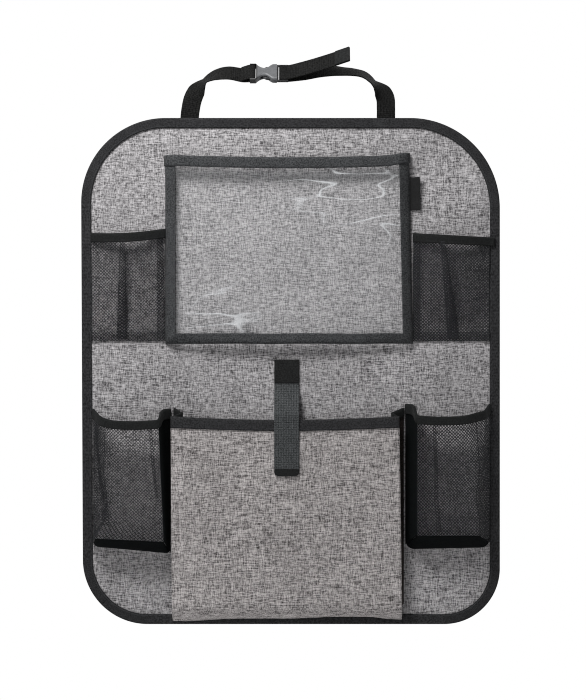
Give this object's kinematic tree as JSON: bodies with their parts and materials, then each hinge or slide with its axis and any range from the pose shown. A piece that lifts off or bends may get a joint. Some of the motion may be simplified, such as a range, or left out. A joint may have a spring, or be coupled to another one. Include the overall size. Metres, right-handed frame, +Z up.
{
  "type": "car seat back organizer",
  "caption": "Hanging fabric organizer for a seat back, with net pockets, a clear window pocket, a cloth pocket with a closure strap, and a buckled headrest strap.",
  "frame": {"origin": "centre of the panel's back face, which lies on the seat back", "axes": "+Z up when hung, +Y into the seat back, +X to the right seen from the front"},
  "size_m": [0.4318, 0.0409, 0.5942],
  "materials": {
    "melange_cloth": "grey melange woven polyester, matt, with fine light and dark slubs",
    "binding_tape": "black ribbed polyester tape with a faint sheen",
    "pocket_net": "black knitted diamond net",
    "window_film": "clear flexible film with soft creases",
    "webbing": "black woven webbing",
    "label_ribbon": "black satin ribbon, bare",
    "socket_plastic": "dark grey moulded plastic, satin",
    "plug_plastic": "black moulded plastic, satin"
  },
  "bodies": {
    "root": {"back_panel": "melange_cloth", "centre_front": "melange_cloth", "centre_left_gusset": "melange_cloth", "centre_right_gusset": "melange_cloth", "panel_binding": "binding_tape", "tablet_left_tape": "binding_tape", "tablet_right_tape": "binding_tape", "tablet_bottom_tape": "binding_tape", "tablet_top_tape": "binding_tape", "upper_left_tape": "binding_tape", "upper_right_tape": "binding_tape", "lower_left_tape": "binding_tape", "lower_right_tape": "binding_tape", "centre_tape": "binding_tape", "centre_left_fold_tape": "binding_tape", "centre_right_fold_tape": "binding_tape", "upper_left_net": "pocket_net", "upper_right_net": "pocket_net", "lower_left_net": "pocket_net", "lower_left_outer_gusset": "pocket_net", "lower_left_inner_gusset": "pocket_net", "lower_left_floor": "pocket_net", "lower_right_net": "pocket_net", "lower_right_outer_gusset": "pocket_net", "lower_right_inner_gusset": "pocket_net", "lower_right_floor": "pocket_net", "tablet_window": "window_film", "closure_strap": "webbing", "closure_anchor": "webbing", "left_strap": "webbing", "right_strap": "webbing", "side_label": "label_ribbon", "buckle_socket": "socket_plastic", "buckle_plug": "plug_plastic"}
  },
  "joints": []
}
